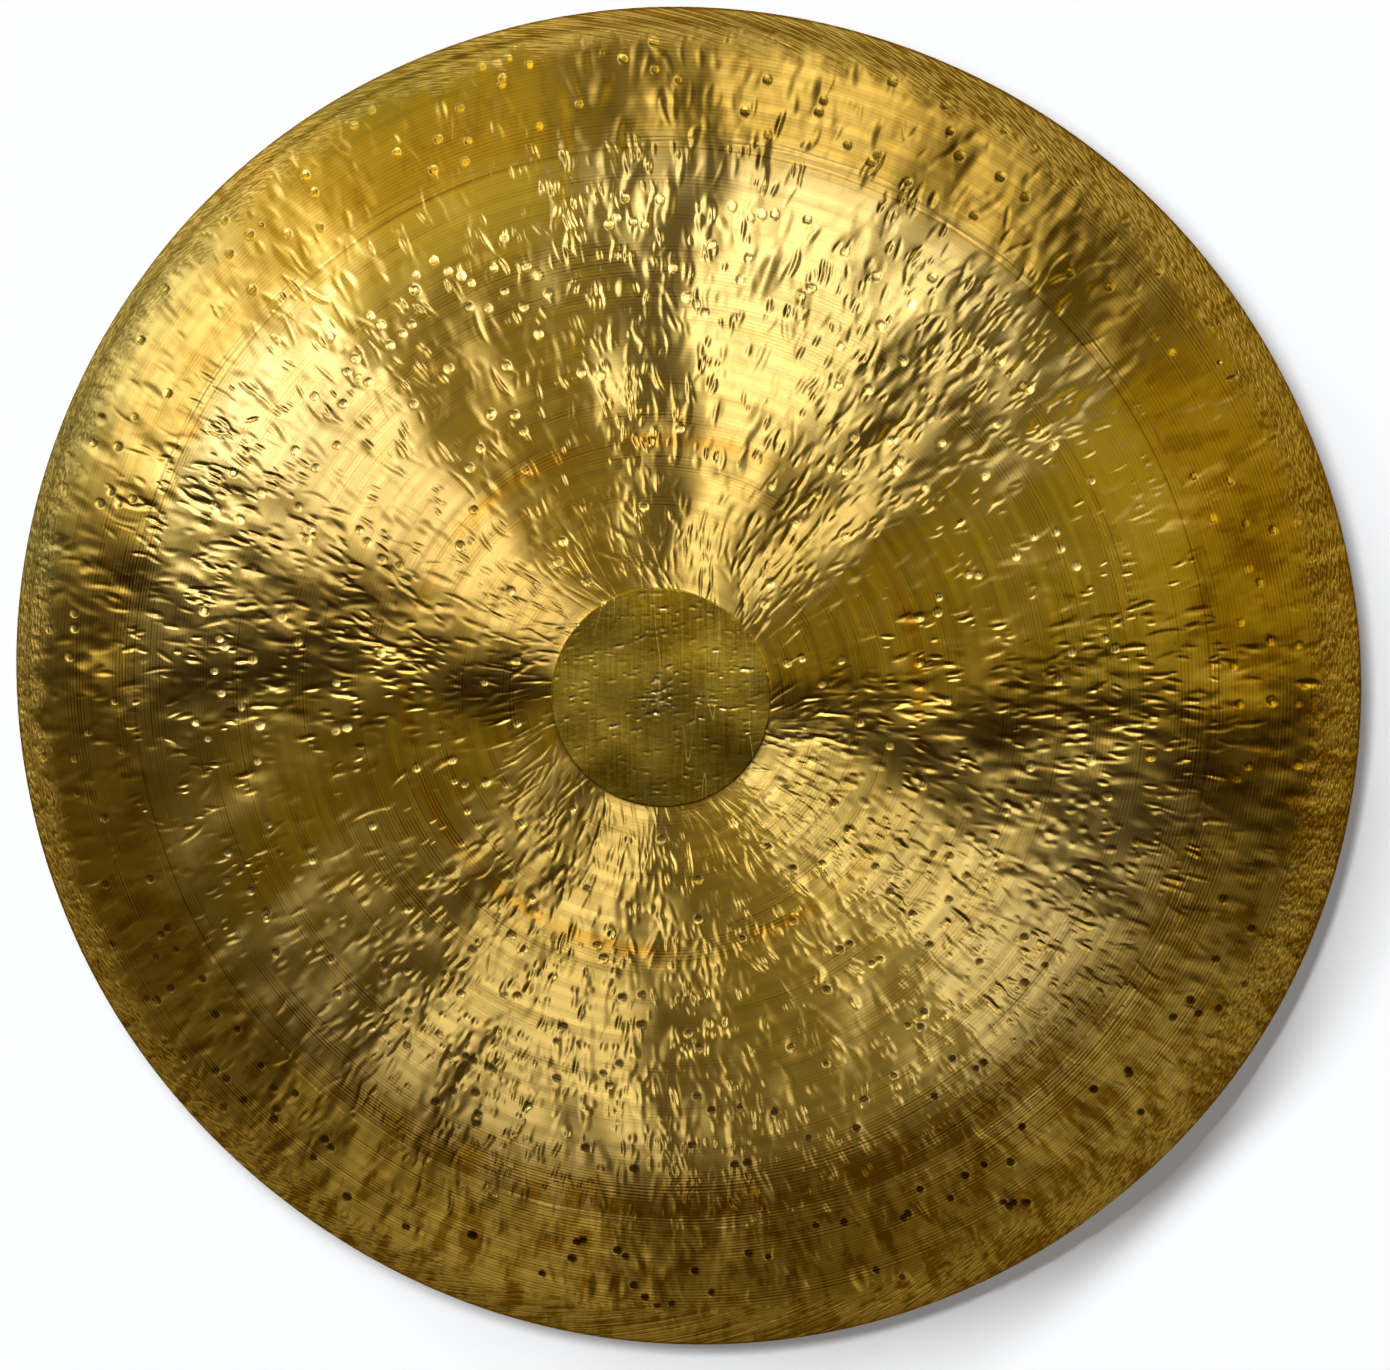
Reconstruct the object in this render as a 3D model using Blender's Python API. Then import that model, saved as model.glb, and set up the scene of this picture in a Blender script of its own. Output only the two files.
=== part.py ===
"""Feng gong: one hammered and turned bronze plate, lying face up on its rim.

Metres, +Z up. The origin is the middle of the plate's outline, on the surface that it lies on.

The plate is modelled in the order in which it is made. A section is spun into a flat face with
a rounded shoulder and a sloping flank, turned on both sides between the centre disc and the rim.
The turned rings are then set off the middle of the outline, because the lathe's axis isn't quite
in the middle of the beaten edge, and last it gets the slow unevenness that the hammer leaves.
"""

from math import atan2, cos, hypot, pi, radians, sin

import bmesh
import bpy

# Outline and wall
PLATE_DIAMETER = 0.800
CENTRE_THICKNESS = 0.0036
RIM_THICKNESS = 0.0026
EDGE_ROUND = 0.0006
EDGE_WANDER = 0.0009
EDGE_WAVES = 5

# Where the lathe's axis meets the plate, from the middle of the outline
LATHE_X = -0.0080
LATHE_Y = -0.0025

# Flat ring under the rim, on which the plate lies, and the least unturned width inside it
REST_WIDTH = 0.0050
REST_MARGIN = 0.0046

# Zones of both faces, round the lathe's axis
CENTRE_DISC_DIAMETER = 0.129
BAND_WIDTH = 0.059

# The rounded shoulder inside the crease, and how steeply the flank outside it falls
SHOULDER_WIDTH = 0.073
FLANK_SLOPE = 0.20

# Relief that the lathe's tool leaves on both faces
TURNING_DEPTH = 0.0003
TURNED_EDGE = 0.0008
CREASE_DEPTH = 0.0003
CREASE_WIDTH = 0.0060

# Slow unevenness of the beaten sheet
BEATEN_HEIGHT = 0.0004
BEATEN_PITCH = 0.095

# Facets
SIDES = 112
DISC_RINGS = 2
FLAT_RINGS = 7
SHOULDER_RINGS = 6
BAND_RINGS = 3
EDGE_STEPS = 2

# Sizes that follow from those above
PLATE_RADIUS = PLATE_DIAMETER / 2
REST_RADIUS = PLATE_RADIUS - REST_WIDTH
TURNED_RADIUS = REST_RADIUS - REST_MARGIN - hypot(LATHE_X, LATHE_Y)
CREASE_RADIUS = TURNED_RADIUS - BAND_WIDTH
SHOULDER_END = CREASE_RADIUS - CREASE_WIDTH / 2
SHOULDER_START = SHOULDER_END - SHOULDER_WIDTH
DISC_RADIUS = CENTRE_DISC_DIAMETER / 2

WELD = 0.000001


def clear_scene():
    """Remove every object of the open scene."""
    for item in list(bpy.data.objects):
        bpy.data.objects.remove(item, do_unlink=True)


def ease(value, start, end):
    """Go smoothly from 0 at start to 1 at end."""
    share = min(max((value - start) / (end - start), 0.0), 1.0)
    return share * share * (3 - 2 * share)


def spread(start, end, steps):
    """Give evenly spaced radii from start to end, both included."""
    return [start + (end - start) * step / steps for step in range(steps + 1)]


def fall(radius):
    """Give how far the plain sheet lies below its flat top, where its slope is an ease."""
    share = min(max((radius - SHOULDER_START) / SHOULDER_WIDTH, 0.0), 1.0)
    shoulder = SHOULDER_WIDTH * (share ** 3 - share ** 4 / 2)
    return FLANK_SLOPE * (shoulder + max(radius - SHOULDER_END, 0.0))


def sheet(radius):
    """Give the height of the plain sheet's underside, which is 0 where the rest begins."""
    return fall(REST_RADIUS) - fall(radius)


def wall(radius):
    """Give the wall before turning, which thins from the middle to the rest."""
    share = min(radius / REST_RADIUS, 1.0)
    return CENTRE_THICKNESS + (RIM_THICKNESS - CENTRE_THICKNESS) * share


def cut(radius):
    """Give the depth that the lathe takes off a face, with the groove along the crease."""
    into_disc = ease(radius, DISC_RADIUS, DISC_RADIUS + TURNED_EDGE)
    into_rim = ease(radius, TURNED_RADIUS - TURNED_EDGE, TURNED_RADIUS)
    groove = max(1 - abs(radius - CREASE_RADIUS) / (CREASE_WIDTH / 2), 0.0)
    return TURNING_DEPTH * (into_disc - into_rim) + CREASE_DEPTH * groove


def top(radius):
    """Give the height of the front face, which slopes down to the edge."""
    return sheet(radius) + wall(radius) - cut(radius)


def under(radius):
    """Give the height of the back face, which is ground flat where the plate rests."""
    return max(sheet(radius), 0.0) + cut(radius)


def face_radii():
    """Give the rings of one face, from the first round the middle to the rounded edge."""
    disc = spread(0.0, DISC_RADIUS, DISC_RINGS)[1:]
    flat = spread(DISC_RADIUS + TURNED_EDGE, SHOULDER_START, FLAT_RINGS)
    shoulder = spread(SHOULDER_START, SHOULDER_END, SHOULDER_RINGS)[1:]
    band = spread(CREASE_RADIUS + CREASE_WIDTH / 2, TURNED_RADIUS - TURNED_EDGE, BAND_RINGS)
    rim = [TURNED_RADIUS, REST_RADIUS, PLATE_RADIUS - EDGE_ROUND]
    return disc + flat + shoulder + [CREASE_RADIUS] + band + rim


def edge_arc(middle_height, turn_start):
    """Give the points of one quarter of the rounded edge, without its first point."""
    points = []
    for step in range(1, EDGE_STEPS + 1):
        angle = turn_start - pi / 2 * step / EDGE_STEPS
        out = PLATE_RADIUS - EDGE_ROUND + EDGE_ROUND * cos(angle)
        points.append((out, middle_height + EDGE_ROUND * sin(angle)))
    return points


def section():
    """Give the closed half section as radius and height, from the top down to the underside."""
    radii = face_radii()
    front = [(radius, top(radius)) for radius in [0.0] + radii]
    upper_edge = edge_arc(top(radii[-1]) - EDGE_ROUND, pi / 2)
    lower_edge = [(PLATE_RADIUS, EDGE_ROUND)] + edge_arc(EDGE_ROUND, 0.0)
    back = [(radius, under(radius)) for radius in [0.0] + radii[:-1]]
    return front + upper_edge + lower_edge + back[::-1]


def spin_section(points):
    """Spin the half section into a closed plate and return it as a bmesh."""
    plate = bmesh.new()
    line = [plate.verts.new((radius, 0.0, height)) for radius, height in points]
    edges = [plate.edges.new(pair) for pair in zip(line, line[1:])]
    bmesh.ops.spin(
        plate, geom=line + edges, cent=(0, 0, 0), axis=(0, 0, 1), dvec=(0, 0, 0),
        angle=2 * pi, steps=SIDES, use_merge=True,
    )
    bmesh.ops.remove_doubles(plate, verts=plate.verts, dist=WELD)
    bmesh.ops.recalc_face_normals(plate, faces=plate.faces)
    return plate


def edge_wander(angle):
    """Give how far the beaten edge stays inside its full circle.

    It touches the circle on the X and Y axes, so the plate keeps its stated diameter.
    """
    return EDGE_WANDER * sin(2 * angle) ** 2 * (1 + sin(EDGE_WAVES * angle)) / 2


def beaten(x, y):
    """Give the slow unevenness of the sheet, which dies out towards the flat rest."""
    turn = 2 * pi / BEATEN_PITCH
    along = sin(turn * x + 1.3 * sin(turn * y / 2))
    across = sin(turn * (0.8 * y - 0.6 * x) + 2.0)
    fade = 1 - ease(hypot(x, y), CREASE_RADIUS, REST_RADIUS)
    return BEATEN_HEIGHT / 2 * (along + across) * fade


def set_off_centre(plate):
    """Move the turned rings to the lathe's axis, and let the outline wander."""
    for point in plate.verts:
        radius = hypot(point.co.x, point.co.y)
        angle = atan2(point.co.y, point.co.x)
        turned = 1 - ease(radius, TURNED_RADIUS, REST_RADIUS)
        inward = edge_wander(angle) * ease(radius, REST_RADIUS, PLATE_RADIUS - EDGE_ROUND)
        point.co.x += LATHE_X * turned - inward * cos(angle)
        point.co.y += LATHE_Y * turned - inward * sin(angle)


def beat(plate):
    """Give both faces the same slow unevenness, so the wall stays as it is."""
    for point in plate.verts:
        point.co.z += beaten(point.co.x, point.co.y)


def bronze():
    """Make the golden bronze of the plate."""
    material = bpy.data.materials.new("golden_bronze")
    material.use_nodes = True
    shader = material.node_tree.nodes["Principled BSDF"]
    shader.inputs["Base Color"].default_value = (0.72, 0.50, 0.17, 1.0)
    shader.inputs["Metallic"].default_value = 1.0
    shader.inputs["Roughness"].default_value = 0.32
    return material


def make_gong_plate():
    """Model the whole plate, which is one piece of metal."""
    plate = spin_section(section())
    set_off_centre(plate)
    beat(plate)
    mesh = bpy.data.meshes.new("gong_plate")
    plate.to_mesh(mesh)
    plate.free()
    mesh.shade_smooth()
    mesh.set_sharp_from_angle(angle=radians(25))
    gong = bpy.data.objects.new("gong_plate", mesh)
    gong.data.materials.append(bronze())
    bpy.context.scene.collection.objects.link(gong)
    return gong


clear_scene()
make_gong_plate()
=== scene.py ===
"""Looks of the feng gong: one hammered, lathe-turned bronze plate that lies face up on white."""

import logging
from collections.abc import Callable, Iterator
from dataclasses import dataclass, field
from enum import Enum
from math import atan2, cos, hypot, pi, radians, sin

import bpy
import numpy as np
from mathutils import Matrix, Vector


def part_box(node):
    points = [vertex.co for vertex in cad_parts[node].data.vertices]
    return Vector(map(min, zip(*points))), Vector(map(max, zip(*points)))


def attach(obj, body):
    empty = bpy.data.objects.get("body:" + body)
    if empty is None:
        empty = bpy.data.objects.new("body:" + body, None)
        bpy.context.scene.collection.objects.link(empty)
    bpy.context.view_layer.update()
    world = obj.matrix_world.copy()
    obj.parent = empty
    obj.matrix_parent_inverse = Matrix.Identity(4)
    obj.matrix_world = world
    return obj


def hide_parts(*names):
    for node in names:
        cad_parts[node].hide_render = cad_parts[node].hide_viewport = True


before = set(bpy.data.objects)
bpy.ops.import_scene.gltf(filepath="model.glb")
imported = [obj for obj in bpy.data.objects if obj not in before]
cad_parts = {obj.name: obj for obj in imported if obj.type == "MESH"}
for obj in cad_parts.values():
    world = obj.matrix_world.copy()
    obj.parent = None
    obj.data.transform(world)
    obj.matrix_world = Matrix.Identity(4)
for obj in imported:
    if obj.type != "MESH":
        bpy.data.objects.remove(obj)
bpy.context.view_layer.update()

log = logging.getLogger("feng_gong")

# What a socket takes, a pair of bounds or a direction, and a colour
Feed = "Shade | float | tuple[float, ...]"
Span = tuple[float, float]
Colour = tuple[float, float, float]


class Face(Enum):
    """The two faces of the plate."""

    FRONT = 1
    BACK = -1


class Zone(Enum):
    """How the metal of a face was left, which is also the index of its finish."""

    TURNED = 0
    FORGED = 1


def ease(value: np.ndarray | float, start: float, end: float) -> np.ndarray | float:
    """Go smoothly from 0 to 1.

    Args:
        value: What is measured.
        start: Where the result leaves 0.
        end: Where it reaches 1.

    Returns:
        The smooth step at each value.
    """
    share = np.clip((value - start) / (end - start), 0.0, 1.0)
    return share * share * (3 - 2 * share)


def link(name: str, data: bpy.types.ID) -> bpy.types.Object:
    """Put a mesh, lamp or camera into the scene as an object.

    Args:
        name: The object's name.
        data: What it shows.

    Returns:
        The object.
    """
    made = bpy.data.objects.new(name, data)
    bpy.context.scene.collection.objects.link(made)
    return made


@dataclass
class PlateForm:
    """The plate's section, outline and slow unevenness, in metres, as the CAD part has them.

    Only the lathe's axis lies a few millimetres from the part's, where the photograph shows it.
    """

    radius: float
    centre_thickness: float = 0.0036
    rim_thickness: float = 0.0026
    edge_round: float = 0.0006
    edge_wander: float = 0.0009
    edge_waves: int = 5
    lathe_x: float = -0.0045
    lathe_y: float = 0.0027
    rest_width: float = 0.0050
    rest_margin: float = 0.0046
    disc_radius: float = 0.0645
    band_width: float = 0.062
    shoulder_width: float = 0.073
    flank_slope: float = 0.20
    turning_depth: float = 0.0003
    turned_edge: float = 0.0008
    rim_blend: float = 0.0140
    crease_depth: float = 0.0003
    crease_width: float = 0.0060
    band_depth: float = 0.00004
    band_pitches: tuple[float, ...] = (0.0083, 0.0130, 0.0210)
    ridge_offsets: tuple[float, ...] = (-0.0032, -0.0014, 0.0004, 0.0024)
    ridge_width: float = 0.0006
    ridge_height: float = 0.00015
    slow_wobble: float = 0.0007
    quick_wobble: float = 0.0004
    beaten_height: float = 0.0004
    beaten_pitch: float = 0.095

    @property
    def rest_radius(self) -> float:
        """Inner radius of the flat ring on which the plate lies."""
        return self.radius - self.rest_width

    @property
    def turned_radius(self) -> float:
        """Outer radius of the turned face, round the lathe's axis."""
        return self.rest_radius - self.rest_margin - hypot(self.lathe_x, self.lathe_y)

    @property
    def crease_radius(self) -> float:
        """Radius of the crease, round the lathe's axis."""
        return self.turned_radius - self.band_width

    def fall(self, radius: np.ndarray | float) -> np.ndarray | float:
        """Give how far the plain sheet lies below the flat top at each radius.

        Args:
            radius: Distance from the lathe's axis.

        Returns:
            The drop, in metres.
        """
        end = self.crease_radius - self.crease_width / 2
        start = end - self.shoulder_width
        share = np.clip((radius - start) / self.shoulder_width, 0.0, 1.0)
        shoulder = self.shoulder_width * (share**3 - share**4 / 2)
        return self.flank_slope * (shoulder + np.maximum(radius - end, 0.0))

    def sheet(self, radius: np.ndarray | float) -> np.ndarray | float:
        """Give the height of the plain sheet's underside, which is 0 where the rest begins."""
        return self.fall(self.rest_radius) - self.fall(radius)

    def wall(self, radius: np.ndarray) -> np.ndarray:
        """Give the wall before turning at each radius."""
        share = np.minimum(radius / self.rest_radius, 1.0)
        return self.centre_thickness + (self.rim_thickness - self.centre_thickness) * share

    def cut(self, radius: np.ndarray) -> np.ndarray:
        """Give the depth that the lathe takes off a face, with the groove along the crease.

        Args:
            radius: Distance of each point from the lathe's axis.

        Returns:
            The depth, in metres.
        """
        into_disc = ease(radius, self.disc_radius, self.disc_radius + self.turned_edge)
        into_rim = ease(radius, self.turned_radius - self.rim_blend, self.turned_radius)
        groove = np.maximum(1 - abs(radius - self.crease_radius) / (self.crease_width / 2), 0.0)
        turned = into_disc - into_rim
        waves = sum(np.sin(2 * pi * radius / pitch) for pitch in self.band_pitches)
        return (self.turning_depth + self.band_depth * waves) * turned + self.crease_depth * groove / 2

    def crease_lines(self, radius: np.ndarray, angle: np.ndarray) -> np.ndarray:
        """Give the height of the thin ridges that wobble along the crease.

        Args:
            radius: Distance of each point from the lathe's axis.
            angle: Its angle round that axis.

        Returns:
            The ridges' height, in metres.
        """
        total = np.zeros_like(radius)
        for turn, offset in enumerate(self.ridge_offsets):
            slow = self.slow_wobble * np.sin(9 * angle + 2.1 * turn)
            quick = self.quick_wobble * np.sin(31 * angle + 5 * turn)
            strength = 0.5 + 0.5 * np.sin(7 * angle + 1.7 * turn)
            off = (radius - self.crease_radius - offset - (slow + quick)) / self.ridge_width
            total = total + self.ridge_height * strength * np.exp(-off * off)
        return total

    def shifted(self, radius: np.ndarray, angle: np.ndarray) -> tuple[np.ndarray, np.ndarray]:
        """Set rings off to the lathe's axis and let the outline wander.

        Args:
            radius: Nominal radius of each point.
            angle: Its angle from +X.

        Returns:
            The points' places along X and Y.
        """
        turned = 1 - ease(radius, self.turned_radius, self.rest_radius)
        waves = 1 + np.sin(self.edge_waves * angle)
        wander = self.edge_wander * np.sin(2 * angle) ** 2 * waves / 2
        held_in = radius - wander * ease(radius, self.rest_radius, self.radius - self.edge_round)
        return (
            held_in * np.cos(angle) + self.lathe_x * turned,
            held_in * np.sin(angle) + self.lathe_y * turned,
        )

    def beaten(self, x: np.ndarray, y: np.ndarray) -> np.ndarray:
        """Give the slow unevenness of the sheet, which dies out towards the flat rest.

        Args:
            x: The points' places along X.
            y: Their places along Y.

        Returns:
            The height to add, in metres.
        """
        turn = 2 * pi / self.beaten_pitch
        along = np.sin(turn * x + 1.3 * np.sin(turn * y / 2))
        across = np.sin(turn * (0.8 * y - 0.6 * x) + 2.0)
        fade = 1 - ease(np.hypot(x, y), self.crease_radius, self.rest_radius)
        return self.beaten_height / 2 * (along + across) * fade


@dataclass(frozen=True)
class Blow:
    """One mark of a hammer, in polar places round the lathe's axis, in metres and radians."""

    radius: float
    angle: float
    half_width: float
    half_length: float
    depth: float
    slant: float = 0.0
    bend: float = 0.0
    skew: float = 0.0
    crisp: float = 2.0
    flattens: float = 0.0
    flat_floor: float = 1.0


@dataclass(frozen=True)
class Sector:
    """A part of the turn where the smith struck more, in degrees from +X."""

    middle: float
    half_width: float
    share: float
    roundness: float = 0.0

    def off(self, angle: float) -> float:
        """Give how far a direction lies from the middle of the sector, in radians."""
        return abs((angle - radians(self.middle) + pi) % (2 * pi) - pi)


@dataclass(frozen=True)
class Stage:
    """One round of hammering over a ring of the plate, in metres and radians.

    An eager round keeps to the busy sectors. Its marks grow from middle_size to full size over
    the radii of grows, and turn round the centre disc near it if turns_in is set.
    """

    count: int
    ring: Span
    half_width: Span
    half_length: Span
    depth: float
    depth_spread: float
    slant: float
    bend: float
    skew: float = 0.0
    crisp: float = 2.0
    eagerness: float = 0.0
    middle_size: float = 1.0
    grows: Span = (0.0, 1.0)
    turns_in: bool = True
    slant_shift: float = 0.0


@dataclass
class HammerWork:
    """The depth of all hammer marks on one face, kept on a grid of radius and angle."""

    form: PlateForm
    seed: int
    columns: int = 5120
    rows: int = 1000
    quiet_share: float = 0.26
    scratch_step: float = 0.0030
    scratch_share: float = 0.75
    row_inside: float = 0.017
    row_pitch: float = 0.0082
    row_degrees: Span = (300.0, 338.0)
    pit_depth: float = 0.0007
    sectors: tuple[Sector, ...] = (
        Sector(96, 24, 0.60), Sector(52, 26, 0.60), Sector(0, 24, 0.60), Sector(168, 30, 0.50),
        Sector(278, 28, 0.60, 0.1), Sector(240, 26, 0.60, 0.3), Sector(322, 26, 0.75, 0.6),
    )
    depth: np.ndarray = field(init=False)
    flat: np.ndarray = field(init=False)

    def __post_init__(self) -> None:
        """Start with an unmarked face, a little wider than the plate is from the lathe's axis."""
        self.reach = self.form.radius + hypot(self.form.lathe_x, self.form.lathe_y)
        self.depth = np.zeros((self.rows, self.columns), np.float32)
        self.flat = np.zeros_like(self.depth)
        self.draw = np.random.default_rng(self.seed)

    def strike(self, blow: Blow) -> None:
        """Press one blow into the grid.

        Args:
            blow: The mark's place, size and depth.
        """
        extent = hypot(blow.half_width, blow.half_length)
        step = self.reach / self.rows
        low = max(int((blow.radius - extent) / step), 1)
        high = min(int((blow.radius + extent) / step) + 1, self.rows)
        if high <= low:
            return
        radius = np.arange(low, high)[:, None] * step
        turn = 2 * pi / self.columns
        arc = max(blow.radius - extent / 2, step) * turn
        reach = min(int(extent / arc) + 1, self.columns // 2)
        middle = int(round(blow.angle / turn))
        offsets = np.arange(-reach, reach + 1)[None, :]
        across = (offsets * turn + middle * turn - blow.angle) * radius
        along = radius - blow.radius
        wide = across * cos(blow.slant) - along * sin(blow.slant)
        long = across * sin(blow.slant) + along * cos(blow.slant)
        wide = wide - blow.bend * long * long
        bowl = 1 - (wide / blow.half_width) ** 2 - (long / blow.half_length) ** 2
        tilt = 1 + blow.skew * wide / blow.half_width
        mark = blow.depth * np.clip(bowl * blow.flat_floor, 0.0, 1.0) ** blow.crisp * tilt
        place = np.s_[low:high, (middle + offsets[0]) % self.columns]
        self.depth[place] += mark.astype(np.float32)
        if blow.flattens:
            pressed = blow.flattens * np.clip(4 * bowl, 0.0, 1.0)
            self.flat[place] = np.maximum(self.flat[place], pressed)

    def read(self, grid: np.ndarray, radius: np.ndarray, angle: np.ndarray) -> np.ndarray:
        """Read a grid between its points.

        Args:
            grid: The grid of depths, or of how flat the lathe's lines are pressed.
            radius: Distance of each point from the lathe's axis.
            angle: Its angle round that axis.

        Returns:
            The grid's value there.
        """
        row = np.clip(radius / self.reach * self.rows, 0, self.rows - 1.001)
        column = (angle / (2 * pi) * self.columns) % self.columns
        row_0, column_0 = row.astype(int), column.astype(int) % self.columns
        column_1 = (column_0 + 1) % self.columns
        down, right = row - row_0, column - np.floor(column)
        near = grid[row_0, column_0] * (1 - right) + grid[row_0, column_1] * right
        far = grid[row_0 + 1, column_0] * (1 - right) + grid[row_0 + 1, column_1] * right
        return near * (1 - down) + far * down

    def scatter(self, count: int, inner: float, outer: float) -> Iterator[tuple[float, float]]:
        """Draw places that are spread evenly over a ring.

        Args:
            count: How many places.
            inner: The ring's inner radius.
            outer: Its outer radius.

        Yields:
            A radius and an angle.
        """
        for _ in range(count):
            yield self.draw.uniform(inner**2, outer**2) ** 0.5, self.draw.uniform(0, 2 * pi)

    def busy(self, angle: float) -> float:
        """Give how thickly the smith struck in one direction, up to 1.

        Args:
            angle: The direction, round the lathe's axis.

        Returns:
            The share of the blows that fall.
        """
        found = self.quiet_share
        for sector in self.sectors:
            fade = float(ease(sector.off(angle), 0.0, radians(sector.half_width)))
            found += sector.share * (1 - fade)
        return min(found, 1.0)

    def is_round(self, angle: float) -> bool:
        """Draw whether the next mark in one direction is nearly round."""
        near = [sector for sector in self.sectors if sector.off(angle) < radians(sector.half_width)]
        return self.draw.random() < max((sector.roundness for sector in near), default=0.0)

    def slant(self, radius: float, spread: float) -> float:
        """Give the slant of a mark, which points outwards, but turns round the disc near it."""
        inside = 1 - float(ease(radius, 0.080, 0.125))
        return self.draw.normal(0.0, spread) + inside * self.draw.uniform(0.1, 0.9)

    def go_over(self, stage: Stage) -> None:
        """Strike every blow of one round.

        Args:
            stage: What the round's blows are like, and where they fall.
        """
        draw = self.draw
        for radius, angle in self.scatter(stage.count, *stage.ring):
            if stage.eagerness and draw.random() > self.busy(angle) ** stage.eagerness:
                continue
            size = stage.middle_size + (1 - stage.middle_size) * float(ease(radius, *stage.grows))
            self.strike(Blow(
                radius, angle,
                half_width=draw.uniform(*stage.half_width) * size,
                half_length=draw.uniform(*stage.half_length) * size,
                depth=draw.lognormal(0.0, stage.depth_spread) * stage.depth * size,
                slant=(
                    self.slant(radius + stage.slant_shift, stage.slant) if stage.turns_in
                    else draw.normal(0.0, stage.slant)
                ),
                bend=draw.normal(0.0, stage.bend),
                skew=draw.uniform(-stage.skew, stage.skew) if stage.skew else 0.0,
                crisp=stage.crisp,
            ))

    def peen(self) -> None:
        """Add crisp, narrow marks, most of them single and some in a loose group."""
        for radius, angle in self.scatter(2900, 0.064, 0.325):
            if self.draw.random() > self.busy(angle) ** 1.3:
                continue
            slant = self.slant(radius, 0.16)
            deep = 0.000070 + 0.000045 * float(ease(radius, 0.08, 0.2))
            place = angle
            for _ in range(self.draw.choice((1, 1, 1, 2, 2, 3))):
                width = self.draw.uniform(0.0010, 0.0021)
                round_one = self.is_round(angle)
                stretch = self.draw.uniform(1.0, 1.7) if round_one else self.draw.uniform(1.8, 4.2)
                self.strike(Blow(
                    radius + self.draw.normal(0.0, 0.0018), place,
                    half_width=width * (1.25 if round_one else 1.0), half_length=width * stretch,
                    depth=self.draw.lognormal(0.0, 0.35) * deep,
                    slant=slant + self.draw.normal(0.0, 0.08), bend=self.draw.normal(0.0, 18.0),
                    skew=self.draw.uniform(-0.9, 0.9), crisp=1.4,
                ))
                place += self.draw.uniform(0.0030, 0.0062) / radius

    def dapple(self) -> None:
        """Even the last sectors with a round-faced hammer, whose marks overlap."""
        for radius, angle in self.scatter(2400, 0.080, 0.300):
            if not self.is_round(angle):
                continue
            width = self.draw.uniform(0.0019, 0.0036)
            self.strike(Blow(
                radius, angle, half_width=width, half_length=width * self.draw.uniform(0.9, 1.7),
                depth=self.draw.lognormal(0.0, 0.35) * 0.000115, slant=self.slant(radius, 0.3),
                bend=self.draw.normal(0.0, 10.0), skew=self.draw.uniform(-0.9, 0.9), crisp=1.4,
            ))

    def punch(self) -> None:
        """Add the small round dents of a punch, thickest inside the crease and out on the band."""
        crease = self.form.crease_radius
        for count, inner, outer in (
            (30, 0.075, 0.130), (95, 0.130, 0.225),
            (160, 0.222, 0.290), (170, crease + 0.006, 0.384),
        ):
            for radius, angle in self.scatter(count, inner, outer):
                size = self.draw.uniform(0.0023, 0.0031)
                depth = self.draw.uniform(0.00012, 0.00022)
                self.strike(Blow(
                    radius, angle, size, size, depth, crisp=1.2, flattens=1.0, flat_floor=1.8,
                ))

    def row_of_blows(self) -> None:
        """Set a row of blows side by side just inside the crease."""
        radius = self.form.crease_radius - self.row_inside
        start, end = (radians(degrees) for degrees in self.row_degrees)
        for angle in np.arange(start, end, self.row_pitch / radius):
            self.strike(Blow(
                radius + self.draw.normal(0.0, 0.0025), float(angle) + self.draw.normal(0.0, 0.004),
                half_width=self.draw.uniform(0.0026, 0.0040),
                half_length=self.draw.uniform(0.0050, 0.0110),
                depth=self.draw.uniform(0.00008, 0.00016), slant=self.draw.normal(0.1, 0.1),
                crisp=1.6, flattens=0.22,
            ))

    def clear_middle(self) -> None:
        """Leave the centre disc without the marks that end at its edge."""
        self.depth[: int(self.form.disc_radius / self.reach * self.rows)] = 0.0

    def tap_middle(self) -> None:
        """Give the unturned centre disc its small, level dents."""
        taps = [*self.scatter(200, 0.002, 0.063), *self.scatter(34, 0.001, 0.013)]
        for radius, angle in taps:
            self.strike(Blow(
                radius, angle,
                half_width=self.draw.uniform(0.0005, 0.0009),
                half_length=self.draw.uniform(0.0010, 0.0042),
                depth=self.draw.lognormal(0.0, 0.5) * 0.000090,
                slant=-angle + self.draw.normal(0.12, 0.2),
                skew=self.draw.uniform(-0.9, 0.9), crisp=1.3,
            ))

    def drag(self) -> None:
        """Scratch the centre disc with a few broken lines that rise to the right."""
        for x, y, length, rise in (
            (-0.056, 0.021, 0.062, 0.30), (-0.020, 0.036, 0.034, 0.22), (-0.052, -0.018, 0.020, 0.32),
            (0.030, 0.016, 0.026, 0.10), (-0.034, 0.047, 0.040, 0.06), (-0.012, -0.001, 0.030, 0.12),
        ):
            for step in np.arange(0.0, length, self.scratch_step):
                if self.draw.random() > self.scratch_share:
                    continue
                along = x + step, y + step * rise + self.draw.normal(0.0, 0.0004)
                angle = atan2(along[1], along[0])
                self.strike(Blow(
                    hypot(*along), angle,
                    half_width=0.0006, half_length=self.draw.uniform(0.0012, 0.0024),
                    depth=self.draw.uniform(0.00005, 0.00014), slant=rise - angle, crisp=1.2,
                ))

    def pit(self) -> None:
        """Leave the pits and the slit of the casting in the outer band, and one deep scratch."""
        for radius, angle, width, length, slant in (
            (0.3611, 130.9, 0.0011, 0.0011, 0.0), (0.3743, 31.7, 0.0010, 0.0014, 0.3),
            (0.3764, 30.0, 0.0007, 0.0042, -0.3), (0.2897, 146.4, 0.0006, 0.0050, 0.9),
        ):
            self.strike(Blow(
                radius, radians(angle), width, length, self.pit_depth, slant, crisp=1.0, flattens=1.0,
            ))

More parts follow.
